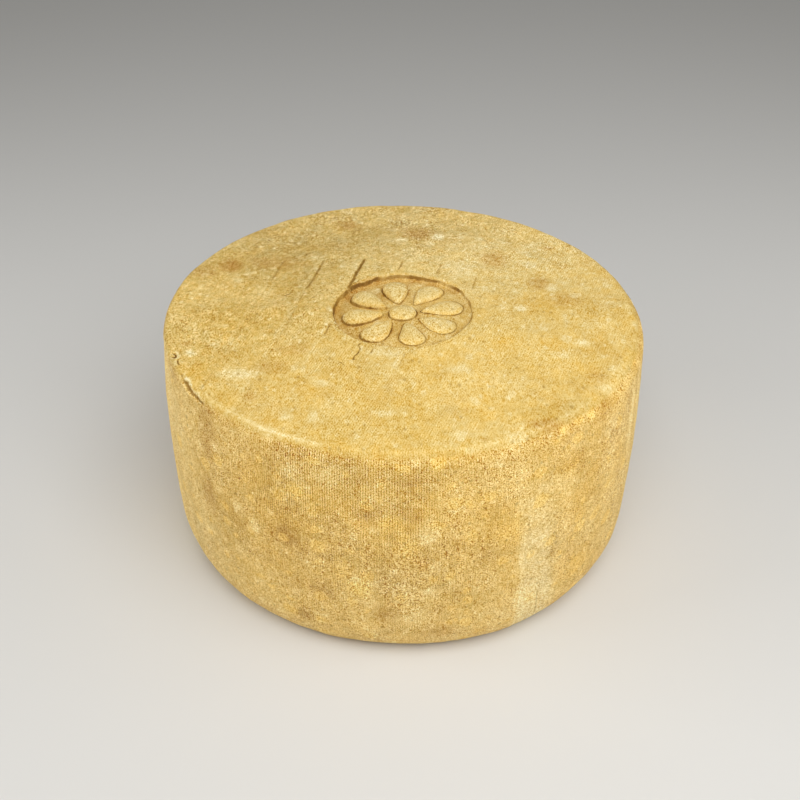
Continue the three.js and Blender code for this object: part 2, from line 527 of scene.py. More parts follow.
def column_angles():
    """Angles of the columns, once round from opposite the chips. The steps shrink as 1 / (1 + gain *
    bell)."""
    fine = CHIPPED_SIDE + np.linspace(-pi, pi, 8 * COLUMNS + 1)
    density = 1 + CHIPPED_GAIN * bell(fine - CHIPPED_SIDE, CHIPPED_SPREAD)
    share = np.concatenate([[0], np.cumsum((density[1:] + density[:-1]) / 2)])
    return np.interp(np.arange(COLUMNS) / COLUMNS, share / share[-1], fine)


def out_of_round(angle, height, wheel):
    """How far the side stands out: a two-sided oval at the top, three lobes at the foot, less the soft
    shoulder."""
    share = height / wheel.height
    top = TOP_OVAL * np.cos(2 * (angle - TOP_OVAL_TURN))
    foot = FOOT_LOBES * np.cos(3 * (angle - FOOT_LOBES_TURN))
    near_top = smooth(height, wheel.height - wheel.shoulder_drop, wheel.height)
    return share * top + (1 - share) * foot - near_top * SHOULDER_SWING * np.cos(angle - SOFT_SIDE)


def top_wave(x, y, wheel, stamp):
    """The top's gentle unevenness, always downwards: half the wave's height * (1 + sin * cos), faded to
    nothing at the stamp and at the rim."""
    wave = np.sin(tau * x / TOP_WAVE_LENGTH + 1) * np.cos(tau * y / TOP_WAVE_LENGTH)
    distance = np.hypot(x, y)
    inside_rim = 1 - smooth(distance / wheel.radius, 0.75, 0.95)
    away = smooth(distance, stamp.radius, 2 * stamp.radius) * inside_rim
    return -TOP_WAVE * away * (1 + wave)


class Skin:
    """The rind at every point of the grid: how far it is lifted, in metres, and how strongly each look
    shows."""

    def __init__(self, wheel, stamp):
        self.wheel = wheel
        radius, height = wheel_outline(wheel, stamp)
        self.angle, self.height = np.meshgrid(column_angles(), height)
        self.on_base = self.height == 0
        self.on_top = self.height == wheel.height
        self.first_top = int(np.argmax(height == wheel.height))
        self.first_foot = BASE_RINGS
        slope_r, slope_h = np.gradient(radius), np.gradient(height)
        length = np.hypot(slope_r, slope_h)
        self.out = np.broadcast_to((slope_h / length)[:, None], self.angle.shape)
        self.up = np.broadcast_to((-slope_r / length)[:, None], self.angle.shape)
        flat_share = radius / np.where(self.height[:, 0] == 0, radius[BASE_RINGS], wheel.radius)
        share = np.where(self.on_top[:, 0] | (np.arange(len(radius)) < BASE_RINGS), flat_share, 1.0)
        around = radius[:, None] + share[:, None] * out_of_round(self.angle, self.height, wheel)
        x, y = around * np.cos(self.angle), around * np.sin(self.angle)
        z = self.height + np.where(self.on_top, top_wave(x, y, wheel, stamp), 0)
        self.points = np.stack([x, y, z], axis=-1)
        self.path = np.concatenate([[0], np.cumsum(np.hypot(np.diff(radius), np.diff(height)))])
        self.from_rim = np.broadcast_to((self.path[self.first_top] - self.path)[:, None], self.angle.shape)
        self.side = smooth(self.from_rim, 3.5 * MM, 7 * MM) * (1 - self.on_base)
        self.degrees = np.degrees(turn_from(self.angle, 0))
        self.degree_arc = radians(1) * wheel.radius
        self.lift = np.zeros(self.angle.shape)
        self.looks = {name: np.zeros(self.angle.shape) for name in LOOKS}
        self.looks["side"] = self.side
        self.looks["line"] += LINE_REACH

    def mark(self, lift=0.0, **looks):
        """Adds relief, and lets each look reach at least this strength."""
        self.lift += lift
        for name, strength in looks.items():
            self.looks[name] = np.maximum(self.looks[name], strength)

    def spread(self, look, strength, away):
        """Lays a round patch. Signed looks are soft and add up, and of the others the strongest shows."""
        if look in SIGNED_LOOKS:
            self.looks[look] += strength * bell(away, 1.0)
        else:
            self.mark(**{look: strength * bell(away**PATCH_EDGE, 1.0)})

    def draw(self, away, half_width, ink):
        """Draws a dark line where away passes 0. Only the nearest line is kept at each point, in half
        widths."""
        line = np.clip(away / half_width, -LINE_REACH, LINE_REACH)
        nearer = (np.abs(line) < np.abs(self.looks["line"])) & (ink > 0.02)
        self.looks["line"] = np.where(nearer, line, self.looks["line"])
        self.looks["ink"] = np.where(nearer, ink, self.looks["ink"])

    def surface(self):
        """The points moved along the outline's own normal by the lift, and never below the floor."""
        x, y, z = np.moveaxis(self.points, -1, 0)
        out = self.lift * self.out
        z = np.maximum(z + self.lift * self.up, 0)
        z = np.where(self.on_base, np.abs(self.lift), z)
        return np.stack([x + out * np.cos(self.angle), y + out * np.sin(self.angle), z], axis=-1)


# ---------------------------------------------------------------- relief and markings


def press_unevenness(skin):
    """Lumps at four sizes, each a few tenths of a millimetre, fainter in the stamp and on the base."""
    middle = smooth(np.hypot(skin.points[..., 0], skin.points[..., 1]), 40 * MM, 60 * MM)
    strength = np.where(skin.on_top, 0.35 + 0.65 * middle, 1.0)
    strength = np.where(skin.on_base, 0.4, strength)
    for size, height, seed in ((60, 0.45, 1), (24, 0.3, 2), (10, 0.2, 3), (5, 0.12, 4)):
        skin.lift += strength * height * MM * lumps(skin.points, size * MM, seed)


def press_foot(skin):
    """The foot is dented where it stood on the rack: a point past a slanting plane is drawn back onto it."""
    for dent in DENTS:
        turn, dip = radians(dent.turn), radians(dent.dip)
        facing = np.array([cos(turn) * cos(dip), sin(turn) * cos(dip), -sin(dip)])
        reach = skin.points @ facing
        near = np.abs(turn_from(skin.angle, turn)) < radians(40)
        past = np.where(near, reach - (reach[near].max() - dent.cut * MM), 0)
        skin.lift -= np.clip(past, 0, None)


def press_stamp(skin, stamp):
    """The round stamp: a tipped floor inside a sloping wall, and petals round a boss that rise from it.

    The floor is -depth + tan(tilt) * (distance along the tilt). A petal is a pillow: with q the squared
    distance from its middle as a share of its half length and half width, its height is (root to top) * (1 -
    q)^(1/4). All of it is a little askew, as pressed by hand into soft curd."""
    shift = STAMP_WOBBLE * np.stack([lumps(skin.points, 13 * MM, seed) for seed in (71, 72)])
    x, y = skin.points[..., 0] + shift[0], skin.points[..., 1] + shift[1]
    distance = np.hypot(x, y)
    tipped = tan(STAMP_TILT) * (x * cos(STAMP_TILT_TURN) + y * sin(STAMP_TILT_TURN))
    floor = -stamp.depth + tipped
    wall = 1 - smooth(distance, stamp.radius - STAMP_WALL, stamp.radius)
    height = np.where(skin.on_top, floor * wall, 0)
    raised = np.zeros(height.shape)
    outside = np.full(height.shape, np.inf)
    half = (PETAL_END - PETAL_START) / 2
    for index in range(stamp.petals):
        turn = PETAL_TURN + tau * index / stamp.petals
        along = (x * cos(turn) + y * sin(turn) - PETAL_START - half) / half
        across = (y * cos(turn) - x * sin(turn)) / (PETAL_WIDTH / 2 * (1 - PETAL_TAPER + PETAL_TAPER * along))
        squared = np.where(along > -1.5, along**2 + across**2, np.inf)
        outside = np.minimum(outside, (np.sqrt(squared) - 1) * PETAL_WIDTH / 2)
        raised = np.maximum(raised, np.clip(1 - squared, 0, 1) ** 0.25)
    outside = np.minimum(outside, distance - BOSS_RADIUS)
    raised = np.maximum(raised, np.clip(1 - (distance / BOSS_RADIUS) ** 2, 0, 1) ** 0.25)
    crown = -PETAL_ROOT + (PETAL_ROOT - PETAL_TOP) * raised
    inside = skin.on_top & (distance < stamp.radius)
    sunk = np.where(inside, np.maximum(height, np.where(raised > 0, crown, -1)), height)
    # Painted shade: the hollow's floor is painted brown, darker where it lies deeper, beside the petals and
    # near the wall.
    depth = np.clip(-floor / stamp.depth, 0, 1.3)
    from_wall = stamp.radius - 0.4 * STAMP_WALL - distance
    by_wall = 0.8 * bell(np.clip(from_wall, 0, None), 4 * MM) * (from_wall > 0)
    shade = np.maximum(bell(outside, 2.2 * MM), by_wall)
    rough = 0.75 + 0.5 * lumps(skin.points, 7 * MM, 73)
    on_floor = inside & (outside > 0)
    skin.mark(lift=sunk, stain=np.where(on_floor, np.clip((0.3 + 0.6 * shade) * depth * rough, 0, 1), 0))
    skin.mark(bloom=np.where(inside & (outside < 0), 0.2 * smooth(-outside, 1 * MM, 4 * MM), 0))
    skin.mark(gold=np.where(inside & (outside < 0), 0.15 * bell(-outside - 1.5 * MM, 1.2 * MM) * rough, 0))
    # Painted shade: dark lines are drawn round the petals and along the wall, darker where the floor lies
    # deeper.
    edge = np.minimum(outside, from_wall)
    ink = np.where(skin.on_top & (np.abs(edge) < 6 * MM), np.clip((0.35 + 0.45 * depth) * rough, 0, 1), 0)
    edge = edge + 0.35 * MM * lumps(skin.points, 6 * MM, 74)
    ink = ink * smooth(distance, stamp.radius + 6 * MM, stamp.radius + 3 * MM)
    skin.draw(edge - 0.2 * MM, 0.45 * MM, ink)


def press_scores(skin):
    """Slat marks: a groove bell of 1.2 mm half width beside a ridge, faded at both ends, with a dark line.
    The groove's brown and its dark line are painted shade, as the shallow groove shades too little by itself.
    """
    x, y = skin.points[..., 0], skin.points[..., 1]
    across = x * sin(SLAT_LEAN) - y * cos(SLAT_LEAN)
    wander = 0.6 * MM * lumps(skin.points, 14 * MM, 11) + 0.3 * MM * lumps(skin.points, 3 * MM, 12)
    for score in SCORES:
        line = (SLAT_FIRST + SLAT_PITCH * score.slat) * sin(SLAT_LEAN)
        front, back = score.front * MM, score.back * MM
        shown = smooth(y, front, front + 5 * MM) * (1 - smooth(y, back - 5 * MM, back)) * skin.on_top
        away = across - line + wander
        groove, ridge = bell(away, 1.2 * MM), bell(away + 2.4 * MM, 1.2 * MM)
        lift = 0.45 * score.light * ridge - (0.8 * score.dark + 0.3 * score.light) * groove
        # Painted shade: brown along the groove here, and a dark line in it below.
        skin.mark(lift=shown * MM * lift, stain=0.35 * shown * score.dark * bell(away, 2 * MM))
        skin.mark(bloom=0.8 * shown * score.light * ridge)
        skin.draw(away, (0.3 + 0.6 * score.dark) * MM, 0.75 * shown * score.dark)


def press_cracks(skin):
    """Thin cracks in the top and at the rim: narrow bells along wandering paths, broken and faded at both
    ends."""
    broken = np.clip(0.8 + 0.9 * lumps(skin.points, 3.5 * MM, 23), 0.2, 1)
    wander = np.stack([lumps(skin.points, 4 * MM, seed) for seed in (21, 22)])
    x, y = np.moveaxis(skin.points[..., :2], -1, 0) + 1.4 * MM * wander
    for crack in CRACKS:
        cut_crack(skin, crack, x, y, (MM, MM), broken * skin.on_top)
    near_rim = smooth(np.abs(skin.from_rim), 12 * MM, 8 * MM)
    x, y = np.stack([skin.degree_arc * skin.degrees, skin.from_rim]) + 0.4 * MM * wander
    for crack in RIM_CRACKS:
        cut_crack(skin, crack, x, y, (skin.degree_arc, MM), near_rim)


def cut_crack(skin, crack, x, y, unit, shown):
    """One crack along its corners, in a plane where x and y are the surface's coordinates."""
    away, along = near_path(x, y, np.array(crack.corners) * unit)
    fade = smooth(along, -0.05, 0.1) * (1 - smooth(along, 0.9, 1.05)) * shown
    lips = crack.lips * fade * bell(np.abs(away) - 1.7 * MM, 0.8 * MM)
    skin.mark(lift=MM * (0.4 * lips - 0.8 * crack.dark * fade * bell(away, 0.9 * MM)), bloom=lips)
    skin.draw(away, 0.42 * MM, np.where(np.abs(away) < 5 * MM, crack.dark * fade, 0))


def press_chips(skin):
    """The broken rim: jagged channels just under the top edge, with torn lips of pale curd along them."""
    rough = lumps(skin.points, 3.2 * MM, 31) + 0.6 * lumps(skin.points, 1.7 * MM, 32)
    jagged = 1.0 * MM * lumps(skin.points, 4 * MM, 33) + 1.0 * MM * lumps(skin.points, 1.6 * MM, 34)
    for chip in CHIPS:
        share = (skin.degrees - chip.start) / (chip.end - chip.start)
        fade = smooth(share, -0.12, 0.1) * (1 - smooth(share, 0.85, 1.1)) * (np.abs(skin.from_rim) < 20 * MM)
        away = skin.from_rim - (chip.below + chip.fall * np.clip(share, 0, 1)) * MM + jagged
        wide = chip.wide * MM * (1.3 - 0.75 * np.clip(share, 0, 1) + 0.3 * rough)
        channel = 1 - smooth(np.abs(away), 0.5 * wide, 1.6 * wide)
        lip = bell(np.abs(away) - 1.9 * wide, 0.7 * wide)
        skin.mark(lift=fade * MM * ((0.5 + 0.3 * rough) * lip - chip.deep * channel * (1 + 0.3 * rough)))
        # The channel is painted brown with a dark line along it: partly the break's own colour, partly
        # painted shade inside it.
        skin.mark(bloom=0.8 * fade * lip, stain=0.4 * fade * channel)
        skin.draw(away, 0.85 * wide, 0.5 * fade)


def press_pits(skin, pits):
    """Small pits scattered over the rind: bells of 1 to 2 mm, a few of them dark, at seeded random places."""
    random = np.random.default_rng(7)
    turn = random.uniform(-pi, pi, pits)
    height = random.uniform(0.1, 1.0, pits) * skin.wheel.height
    spread = np.sqrt(random.uniform(0.12, 1.0, pits)) * 0.95 * skin.wheel.radius
    flat = random.random(pits) < 0.45
    for index in range(pits):
        if flat[index]:
            place = (spread[index] * cos(turn[index]), spread[index] * sin(turn[index]), skin.wheel.height)
        else:
            reach = barrel_radius(height[index], skin.wheel)
            place = (reach * cos(turn[index]), reach * sin(turn[index]), height[index])
        size = random.uniform(0.9, 1.9) * MM
        distance = np.linalg.norm(skin.points - place, axis=-1)
        dark = random.uniform(0.0, 0.5)
        depth = random.uniform(0.2, 0.6) * MM
        pit = bell(distance, size)
        skin.mark(lift=-depth * pit, stain=dark * pit)


def press_side(skin):
    """The side's folds: a pale smooth band with a raised left edge, a crease and a fold below the shoulder.

    The distance to the band's left edge is a look too, so that the material can draw that edge crisply."""
    z = skin.points[..., 2]
    rough = lumps(skin.points, 9 * MM, 41)
    left = -65.3 + 1.7 * smooth(z, 130 * MM, 40 * MM) + 0.15 * rough
    right = -56.8 + 3.0 * smooth(z, 100 * MM, 20 * MM) + 1.2 * rough
    band = (1 - smooth(skin.degrees, right - 2, right + 2)) * skin.side * (1 - smooth(z, 85 * MM, 145 * MM))
    skin.looks["edge"] = np.clip(skin.degree_arc * (skin.degrees - left) / MM, -LINE_REACH, LINE_REACH)
    skin.looks["band"] = band * smooth(skin.looks["edge"], -8, -6)
    band = band * smooth(skin.degrees, left - 0.4, left + 0.5)
    edge = bell(skin.degrees - left - 0.3, 0.6) * skin.side * (1 - smooth(z, 75 * MM, 100 * MM))
    skin.mark(lift=MM * (0.35 * edge - 0.25 * band), bloom=0.6 * edge)
    shown = smooth(z, 6 * MM, 12 * MM) * (1 - smooth(z, 34 * MM, 42 * MM)) * (np.abs(skin.degrees + 58) < 4)
    away = skin.degree_arc * (skin.degrees + 58.3 - 0.8 * smooth(z, 40 * MM, 13 * MM) - 0.15 * rough)
    # Painted highlight and shade: the crease's raised lip is painted pale and a dark line is drawn along the
    # crease.
    lip = bell(away + 1.6 * MM, 1.3 * MM) * shown
    skin.mark(lift=MM * (0.6 * lip - 0.8 * bell(away, 1.3 * MM) * shown), bloom=0.9 * lip)
    skin.draw(away, 0.6 * MM, 0.25 * shown)
    fold = bell(z - (139 + 1.2 * rough) * MM, 1.6 * MM) * bell(skin.degrees + 62.5, 9)
    skin.mark(lift=0.4 * MM * fold, bloom=0.4 * fold)
    return band


def press_rim(skin):
    """The pale line on the top's very edge, strongest at the front left, and the rounding below it painted
    darker as shade."""
    broken = 0.5 + 0.5 * lumps(skin.points, 6 * MM, 51)
    uneven = skin.from_rim + 0.8 * MM * lumps(skin.points, 9 * MM, 52)
    left = bell(turn_from(skin.angle, radians(-121)), radians(13))
    right = bell(turn_from(skin.angle, radians(-66)), radians(22))
    strength = (0.75 * left + 0.35 * right) * (0.5 + 0.7 * broken)
    line = bell(uneven - 1.2 * MM, 1.5 * MM) * np.clip(strength, 0, 0.7)
    skin.mark(bloom=line, lift=0.2 * MM * line)
    # Painted shade: the rounding just below the rim is painted darker, where the shoulder turns away from the
    # light.
    painted_shoulder_shade = smooth(skin.from_rim, 0 * MM, 4.5 * MM) * (1 - smooth(skin.from_rim, 6 * MM, 14 * MM))
    skin.looks["tone"] -= 0.9 * painted_shoulder_shade * (1 - skin.on_top)


def spread_patches(skin):
    """The single patches on the top and round the side, and painted light on the side: brighter towards the
    foot, as bounced light, and at the left edge, as rim light.
    """
    x, y, z = np.moveaxis(skin.points / MM, -1, 0)
    on_top = (1 - skin.side) * (1 - skin.on_base)
    for look, patches in TOP_PATCHES.items():
        for patch in patches:
            away = np.hypot((x - patch.across) / patch.half_width, (y - patch.along) / patch.half_height)
            skin.spread(look, patch.strength * on_top, away)
    for look, patches in SIDE_PATCHES.items():
        for patch in patches:
            arc = turn_from(skin.angle, radians(patch.across)) * skin.wheel.radius / MM
            away = np.hypot(arc / patch.half_width, (z - patch.along) / patch.half_height)
            skin.spread(look, patch.strength * skin.side, away)
    # Painted light: bounced light at the foot and rim light at the left edge, added to the side's tone.
    painted_foot_and_edge_light = PAINTED_FOOT_BOUNCE * smooth(z, 34, 0) + PAINTED_EDGE_RIM_LIGHT * smooth(skin.degrees, -148, -168)
    skin.looks["tone"] += skin.side * painted_foot_and_edge_light


def lay_cloth(skin, band):
    """Where the cloth's print, the coarse grain, the wisps and the upright streaks show, and the painted
    sheen at the side's edges.

    The print is strongest at the front left under the rim."""
    z = skin.points[..., 2]
    side = skin.side * smooth(z, 10 * MM, 30 * MM)
    patch = np.clip(0.5 + 0.9 * lumps(skin.points, 30 * MM, 61), 0, 1)
    ragged = 12 * MM * lumps(skin.points, 25 * MM, 62)
    main = smooth(skin.degrees, -124, -114) * (1 - smooth(skin.degrees, -90, -80))
    main = main * smooth(z + ragged, 92 * MM, 122 * MM)
    main = main * smooth(skin.from_rim + ragged / 8, 2 * MM, (5 + 6 * smooth(skin.degrees, -116, -104)) * MM)
    weave = side * np.clip(0.3 * patch**2 + 0.1 + main, 0, 1) * (1 - 0.8 * band)
    middle = 1 - smooth(np.hypot(skin.points[..., 0], skin.points[..., 1]), 45 * MM, 55 * MM)
    top = (1 - skin.side) * (0.06 + 0.28 * patch) * (1 - middle)
    skin.looks["weave"] = np.maximum(weave, top)
    worn = bell(skin.degrees + 97, 16) * bell(z - 85 * MM, 32 * MM)
    left = smooth(skin.degrees, -120, -145)
    low = bell(skin.degrees + 128, 16) * bell(z - 40 * MM, 35 * MM)
    coarse = skin.side * (0.68 - 0.08 * main + 0.4 * worn - 0.15 * left - 0.25 * low) + 0.47
    coarse = coarse + 0.2 * middle * skin.on_top
    x, y = skin.points[..., 0] / MM, skin.points[..., 1] / MM
    far = smooth(y - 0.5 * x, -70, 50) * (1 - skin.side)
    coarse = coarse + (0.3 * far + 0.35 * smooth(y, 50, 130) * (1 - skin.side)) * (1 - middle)
    skin.looks["coarse"] = 0.55 * coarse * (1 + 0.3 * lumps(skin.points, 16 * MM, 63))
    skin.looks["wisps"] = (0.3 + 0.7 * far) * (1 - skin.side) * (1 - middle) + 0.25 * skin.side
    for size, seed in ((6, 65), (12, 66), (24, 67)):
        skin.looks["tone"] += 0.5 * far * (1 - middle) * lumps(skin.points, size * MM, seed)
    streaks = lumps(skin.points * (1, 1, 0.1), 7 * MM, 64)
    skin.looks["tone"] += 0.35 * skin.side * streaks
    # Painted sheen: pale upright streaks at the side's left and right edges as seen from the front, where the
    # rind is seen at a grazing angle.
    painted_edge_sheen = skin.side * (smooth(skin.degrees, -138, -160) + smooth(skin.degrees, -34, -20))
    skin.mark(bloom=0.9 * painted_edge_sheen * np.clip(streaks, 0, 1))


# ---------------------------------------------------------------- mesh


def wheel_faces(rings):
    """Quads between neighbouring rings and a fan of triangles to each pole, with their faces pointing
    outwards.

    Returns the quads' corners as ring and column numbers, and the fans' columns. A column number equal to
    COLUMNS is the first one again."""
    ring, column = np.meshgrid(np.arange(rings - 1), np.arange(COLUMNS), indexing="ij")
    quad_rings = np.stack([ring, ring, ring + 1, ring + 1], axis=-1).reshape(-1, 4)
    quad_columns = np.stack([column, column + 1, column + 1, column], axis=-1).reshape(-1, 4)
    around = np.arange(COLUMNS)
    return quad_rings, quad_columns, around


def make_mesh(name, skin, cloth):
    """The closed mesh, its looks as attributes, its thread counts as a map and a map for flat pictures of
    it."""
    points = skin.surface()
    rings = len(points)
    poles = np.array([points[0].mean(axis=0), points[-1].mean(axis=0)])
    vertices = np.concatenate([points.reshape(-1, 3), poles])
    quad_rings, quad_columns, around = wheel_faces(rings)
    quads = quad_rings * COLUMNS + quad_columns % COLUMNS
    following = (around + 1) % COLUMNS
    low_pole, high_pole = rings * COLUMNS, rings * COLUMNS + 1
    low_fan = np.stack([np.full(COLUMNS, low_pole), following, around], axis=-1)
    last = (rings - 1) * COLUMNS
    high_fan = np.stack([np.full(COLUMNS, high_pole), last + around, last + following], axis=-1)
    mesh = bpy.data.meshes.new(name)
    mesh.from_pydata(vertices.tolist(), [], quads.tolist() + low_fan.tolist() + high_fan.tolist())
    mesh.polygons.foreach_set("use_smooth", np.ones(len(mesh.polygons), bool))
    for look, values in skin.looks.items():
        attribute = mesh.attributes.new(look, "FLOAT", "POINT")
        ends = [values[0].mean(), values[-1].mean()]
        attribute.data.foreach_set("value", np.concatenate([values.ravel(), ends]).astype(np.float32))
    add_map(mesh, "cloth", thread_counts(skin, cloth, points, poles, quad_rings, quad_columns, around))
    add_map(mesh, "OFBake", flat_layout(skin, points, poles, quad_rings, quad_columns, around))
    mesh.update()
    return mesh


def add_map(mesh, name, corners):
    """A UV map from one pair of numbers for each corner of each face."""
    layer = mesh.uv_layers.new(name=name)
    places = np.concatenate([group.reshape(-1, 2) for group in corners]).astype(np.float32)
    layer.uv.foreach_set("vector", places.ravel())


def unrolled_angle(skin, columns):
    """Each corner's angle, going on past a whole turn at the seam."""
    angles = skin.angle[0]
    return angles[columns % COLUMNS] + tau * (columns // COLUMNS)


def thread_counts(skin, cloth, points, poles, rings, columns, around):
    """Counts of the cloth's threads: by angle and path on the side, and by leaning straight lines on the
    flats."""
    lean = radians(cloth.top_lean)

    def flat(xy):
        x, y = xy[..., 0], xy[..., 1]
        ribs = (x * sin(lean) - y * cos(lean)) / cloth.warp
        beads = (x * cos(lean) + y * sin(lean)) / cloth.weft
        return np.stack([ribs, beads], axis=-1)

    wound = unrolled_angle(skin, columns) / tau * cloth.warps_round
    sides = np.stack([wound, skin.path[rings] / cloth.weft], axis=-1)
    on_flat = (rings[:, 0] >= skin.first_top) | (rings[:, 2] <= skin.first_foot)
    quads = np.where(on_flat[:, None, None], flat(points[rings, columns % COLUMNS]), sides)
    return quads, *pole_fans(flat, points, poles, around)


def pole_fans(flat, points, poles, around):
    """The two fans' corners through a function of x and y."""
    following = (around + 1) % COLUMNS
    low_pole, high_pole = (np.broadcast_to(pole, (COLUMNS, 3)) for pole in poles)
    low = np.stack([low_pole, points[0, following], points[0, around]], axis=1)
    high = np.stack([high_pole, points[-1, around], points[-1, following]], axis=1)
    return flat(low), flat(high)


def flat_layout(skin, points, poles, rings, columns, around):
    """Three strips of the side, one above another, with the top's disc and a smaller disc of the base beside
    them."""
    strip_length = skin.wheel.radius * tau / STRIPS
    strip_height = skin.path[skin.first_top] - skin.path[skin.first_foot]
    angle = unrolled_angle(skin, columns) - skin.angle[0, 0]
    strip = np.floor(angle.mean(axis=1) / (tau / STRIPS)).astype(int)[:, None]
    u = PAGE_MARGIN + (angle - strip * tau / STRIPS) * skin.wheel.radius
    v = PAGE_MARGIN + skin.path[rings] - skin.path[skin.first_foot]
    v = v + strip * (strip_height + 2 * PAGE_MARGIN)
    disc = skin.wheel.radius * DISC_SHARE
    middle_u = 2 * PAGE_MARGIN + strip_length + disc * TOP_SCALE
    top_middle = np.array([middle_u, PAGE_MARGIN + disc * TOP_SCALE])
    base_middle = np.array([middle_u, 2 * PAGE_MARGIN + disc * 2 * TOP_SCALE + disc * BASE_SCALE])

    def top(xy):
        return (top_middle + TOP_SCALE * xy[..., :2]) / PAGE

    def base(xy):
        return (base_middle + BASE_SCALE * xy[..., :2]) / PAGE

    places = points[rings, columns % COLUMNS]
    quads = np.stack([u, v], axis=-1) / PAGE
    quads = np.where((rings[:, 0] >= skin.first_top)[:, None, None], top(places), quads)
    quads = np.where((rings[:, 2] <= skin.first_foot)[:, None, None], base(places), quads)
    low, _ = pole_fans(base, points, poles, around)
    _, high = pole_fans(top, points, poles, around)
    return quads, low, high


# ---------------------------------------------------------------- the rind's material


class Graph:
    """Adds nodes to a material. Any input may be a number, a colour, or the socket of another node.

    The places that noise is read at are squeezed along Y, so its marks lie longer from front to back, except
    in the back half."""

    def __init__(self, material):
        self.tree = material.node_tree
        place = self.node("TexCoord", {}, "Object")
        squeezed = self.node("VectorMath", {0: place, 1: (1.0, FRONT_SQUEEZE, 1.0)}, operation="MULTIPLY")
        behind = self.math("MAXIMUM", self.node("SeparateXYZ", {0: place}, "Y"), 0.0)
        behind = self.node("CombineXYZ", {1: self.math("MULTIPLY", behind, 1 - FRONT_SQUEEZE)})
        self.object = self.node("VectorMath", {0: squeezed, 1: behind}, operation="ADD")

    def node(self, kind, inputs, output=0, **settings):
        """One node with its settings and inputs, given as its output socket, if it has one."""
        made = self.tree.nodes.new("ShaderNode" + kind)
        for name, value in settings.items():
            setattr(made, name, value)
        for key, value in inputs.items():
            if isinstance(value, bpy.types.NodeSocket):
                self.tree.links.new(value, made.inputs[key])
            else:
                made.inputs[key].default_value = value
        return made.outputs[output] if made.outputs else None

    def math(self, operation, *values, clamp=False):
        """One step of arithmetic."""
        return self.node("Math", dict(enumerate(values)), operation=operation, use_clamp=clamp)

    def look(self, name):
        """A look's strength at the surface, from the mesh."""
        return self.node("Attribute", {}, "Fac", attribute_name=name)

    def noise(self, size, octaves=1, keep=0.5, vector=None, low=0.0, high=1.0, seed=0.0):
        """Fractal noise whose largest lumps are this size, stretched so that low reads 0 and high reads 1."""
        place = self.object if vector is None else vector
        moved = self.node("VectorMath", {0: place, 1: (seed, seed * 1.7, -seed)}, operation="ADD")
        inputs = {"Vector": moved, "Scale": 1 / size, "Detail": octaves - 1, "Roughness": keep}
        value = self.node("TexNoise", inputs)
        return self.ramp(value, low, high)

    def ramp(self, value, low, high, start=0.0, end=1.0):
        """The value's range from low to high made start to end, and held there outside it."""
        inputs = {"Value": value, "From Min": low, "From Max": high, "To Min": start, "To Max": end}
        return self.node("MapRange", inputs)

    def blend(self, share, below, above):
        """Two colours mixed by a share."""
        return self.node("Mix", {0: share, 6: below, 7: above}, 2, data_type="RGBA")

    def push(self, colour, signal, amount, way, middle=0.5):
        """The colour moved along a way by amount * (signal - middle)."""
        scaled = self.math("MULTIPLY", self.math("SUBTRACT", signal, middle), amount)
        return self.node("VectorMath", {0: scaled, 1: way, 2: colour}, operation="MULTIPLY_ADD")


def opaque(colour):
    """A colour with full alpha, as colour sockets want it."""
    return (*colour, 1.0)


def on_screen(colour):
    """A linear colour in screen values, with full alpha."""
    return opaque(value ** (1 / SCREEN_GAMMA) for value in colour)


def cloth_print(graph, cloth):
    """The cloth's print as a height, upright ribs of beads pressed at random, and its fibres' noise.

    The height is cos(2 pi u) * (0.5 + 0.5 cos(2 pi v + pi * rib)), times a random strength for each bead, and
    its ridges are worn down to a fifth, so that the grooves show as rows of dark dashes."""
    threads = graph.node("UVMap", {}, uv_map="cloth")
    fibre = graph.node("VectorMath", {0: threads, 1: (1.0, 0.45, 1.0)}, operation="MULTIPLY")
    fibre = graph.node("TexNoise", {"Vector": fibre, "Scale": 0.9, "Detail": 1.0}, noise_dimensions="2D")
    sway = graph.noise(9 * MM, octaves=2, keep=0.6, seed=3)
    u = graph.node("SeparateXYZ", {0: threads}, "X")
    v = u.node.outputs["Y"]
    u = graph.math("MULTIPLY_ADD", sway, 0.5, u)
    v = graph.math("MULTIPLY_ADD", sway, 1.4, v)
    rib = graph.math("FLOOR", u)
    v = graph.math("MULTIPLY_ADD", graph.math("MODULO", rib, 2.0), 0.5, v)
    cell = graph.node("CombineXYZ", {0: rib, 1: graph.math("FLOOR", v)})
    chance = graph.node("TexWhiteNoise", {"Vector": cell}, "Value", noise_dimensions="2D")
    ridge = graph.math("COSINE", graph.math("MULTIPLY", u, tau))
    bead = graph.math("MULTIPLY_ADD", graph.math("COSINE", graph.math("MULTIPLY", v, tau)), 0.5, 0.5)
    pressed = graph.math("MULTIPLY_ADD", chance, 1.6, 0.2)
    height = graph.math("MULTIPLY", graph.math("MULTIPLY", ridge, bead), pressed)
    return graph.math("MINIMUM", height, 0.22), fibre


def colonies(graph, size, largest, torn, seed):
    """Round spots, one about each of many random points this far apart, with their edges torn by noise.

    A spot's radius is largest * chance^2. Its strength runs from 0 to 1 as radius + tear - distance runs from
    -0.06 to 0.12, all as shares of the size."""
    moved = graph.node("VectorMath", {0: graph.object, 1: (seed, -seed, seed)}, operation="ADD")
    distance = graph.node("TexVoronoi", {"Vector": moved, "Scale": 1 / size}, "Distance")
    chance = graph.node("SeparateXYZ", {0: distance.node.outputs["Color"]}, "X")
    radius = graph.math("MULTIPLY", graph.math("MULTIPLY", chance, chance), largest)
    tear = graph.ramp(torn, 0.0, 1.0, -0.2, 0.2)
    inside = graph.math("SUBTRACT", graph.math("ADD", radius, tear), distance)
    return graph.ramp(inside, -0.06, 0.12)


